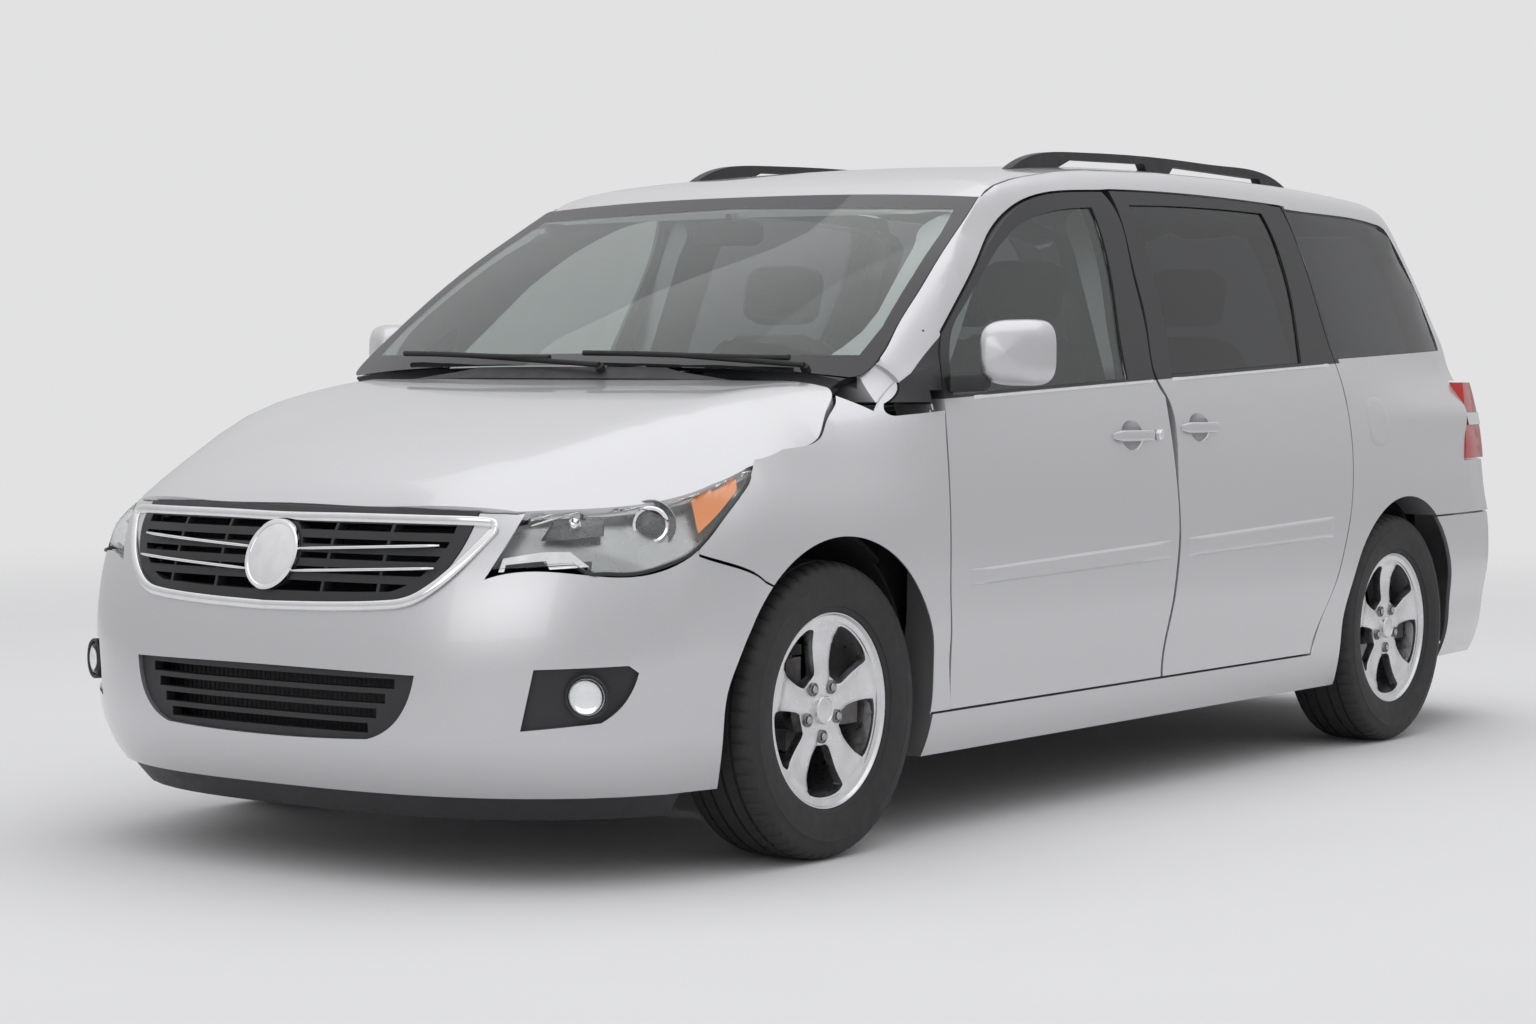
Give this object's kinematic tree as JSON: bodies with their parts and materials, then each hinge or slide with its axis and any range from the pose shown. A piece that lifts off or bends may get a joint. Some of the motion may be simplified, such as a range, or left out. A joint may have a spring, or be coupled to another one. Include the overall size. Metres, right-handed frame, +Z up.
{
  "type": "minivan",
  "caption": "Family minivan with hinged front doors, hood and liftgate, steered front wheels and a hollow cabin with three rows of seats.",
  "frame": {"origin": "on the ground under the middle of the car's box, as it parks", "axes": "+Z up, the nose faces -Y, +X is the car's left"},
  "size_m": [2.286, 5.1392, 1.7925],
  "materials": {
    "paint": "metallic clear coat",
    "structure": "satin",
    "trim_black": "fine grain",
    "chrome_trim": "polished",
    "glass_clear": "clear",
    "glass_dark": "tinted",
    "lamp_clear": "clear lens",
    "lamp_red": "moulded lens",
    "cloth": "woven",
    "cabin_plastic": "soft grain",
    "alloy": "machined and lacquered",
    "iron": "cast",
    "steel_black": "satin",
    "exhaust_steel": "dull",
    "tyre": "moulded"
  },
  "bodies": {
    "body": {"sliding_door_left": "paint", "sliding_door_right": "paint", "body_side_left": "paint", "body_side_right": "paint", "fender_left": "paint", "fender_right": "paint", "roof_panel": "paint", "front_bumper": "paint", "upper_grille": "chrome_trim", "lower_grille": "trim_black", "air_dam": "trim_black", "headlamps": "lamp_clear", "fog_lamps": "lamp_clear", "windshield": "glass_clear", "cowl": "trim_black", "wipers": "trim_black", "rear_bumper": "paint", "tail_lamps": "lamp_red", "rear_side_windows": "glass_dark", "roof_rails": "trim_black", "underbody": "structure", "dashboard": "cabin_plastic", "front_seats": "cloth", "second_row_seats": "cloth", "third_row_bench": "cloth", "engine": "iron", "front_subframe": "steel_black", "rear_axle": "steel_black", "exhaust": "exhaust_steel"},
    "hood": {"hood": "paint"},
    "front_door_left": {"front_door_left": "paint", "front_door_window_left": "glass_clear", "mirror_left": "paint"},
    "front_door_right": {"front_door_right": "paint", "front_door_window_right": "glass_clear", "mirror_right": "paint"},
    "liftgate": {"liftgate": "paint", "liftgate_window": "glass_dark"},
    "steering_wheel": {"steering_wheel": "cabin_plastic"},
    "knuckle_left": {"knuckle_left": "iron"},
    "knuckle_right": {"knuckle_right": "iron"},
    "wheel_front_left": {"wheel_front_left": "alloy", "tyre_front_left": "tyre"},
    "wheel_front_right": {"wheel_front_right": "alloy", "tyre_front_right": "tyre"},
    "wheel_rear_left": {"wheel_rear_left": "alloy", "tyre_rear_left": "tyre"},
    "wheel_rear_right": {"wheel_rear_right": "alloy", "tyre_rear_right": "tyre"}
  },
  "joints": [
    {"name": "hood_hinge", "type": "hinge", "parent": "body", "child": "hood", "pos_m": [0, -1.43, 1.138], "axis": [1, 0, 0], "range_deg": [-52, 0]},
    {"name": "front_door_left_hinge", "type": "hinge", "parent": "body", "child": "front_door_left", "pos_m": [0.94, -1.062, 0.6], "axis": [0, 0, 1], "range_deg": [-65, 0]},
    {"name": "front_door_right_hinge", "type": "hinge", "parent": "body", "child": "front_door_right", "pos_m": [-0.94, -1.062, 0.6], "axis": [0, 0, 1], "range_deg": [0, 65]},
    {"name": "liftgate_hinge", "type": "hinge", "parent": "body", "child": "liftgate", "pos_m": [0, 2.096, 1.697], "axis": [1, 0, 0], "range_deg": [0, 85]},
    {"name": "steer_left", "type": "hinge", "parent": "body", "child": "knuckle_left", "pos_m": [0.8, -1.6085, 0.356], "axis": [0, 0, 1], "range_deg": [-35, 35]},
    {"name": "steer_right", "type": "hinge", "parent": "body", "child": "knuckle_right", "pos_m": [-0.8, -1.6085, 0.356], "axis": [0, 0, 1], "range_deg": [-35, 35]},
    {"name": "roll_front_left", "type": "hinge", "parent": "knuckle_left", "child": "wheel_front_left", "pos_m": [0.832, -1.6085, 0.356], "axis": [1, 0, 0], "continuous": true},
    {"name": "roll_front_right", "type": "hinge", "parent": "knuckle_right", "child": "wheel_front_right", "pos_m": [-0.832, -1.6085, 0.356], "axis": [1, 0, 0], "continuous": true},
    {"name": "roll_rear_left", "type": "hinge", "parent": "body", "child": "wheel_rear_left", "pos_m": [0.832, 1.4695, 0.356], "axis": [1, 0, 0], "continuous": true},
    {"name": "roll_rear_right", "type": "hinge", "parent": "body", "child": "wheel_rear_right", "pos_m": [-0.832, 1.4695, 0.356], "axis": [1, 0, 0], "continuous": true},
    {"name": "steering_wheel_turn", "type": "hinge", "parent": "body", "child": "steering_wheel", "pos_m": [0.4, -0.73, 0.94], "axis": [0, -0.9063, 0.4226], "range_deg": [-540, 540]}
  ],
  "couplings": [
    {"joint": "steer_right", "follows": "steer_left", "ratio": 1},
    {"joint": "steering_wheel_turn", "follows": "steer_left", "ratio": 15}
  ]
}
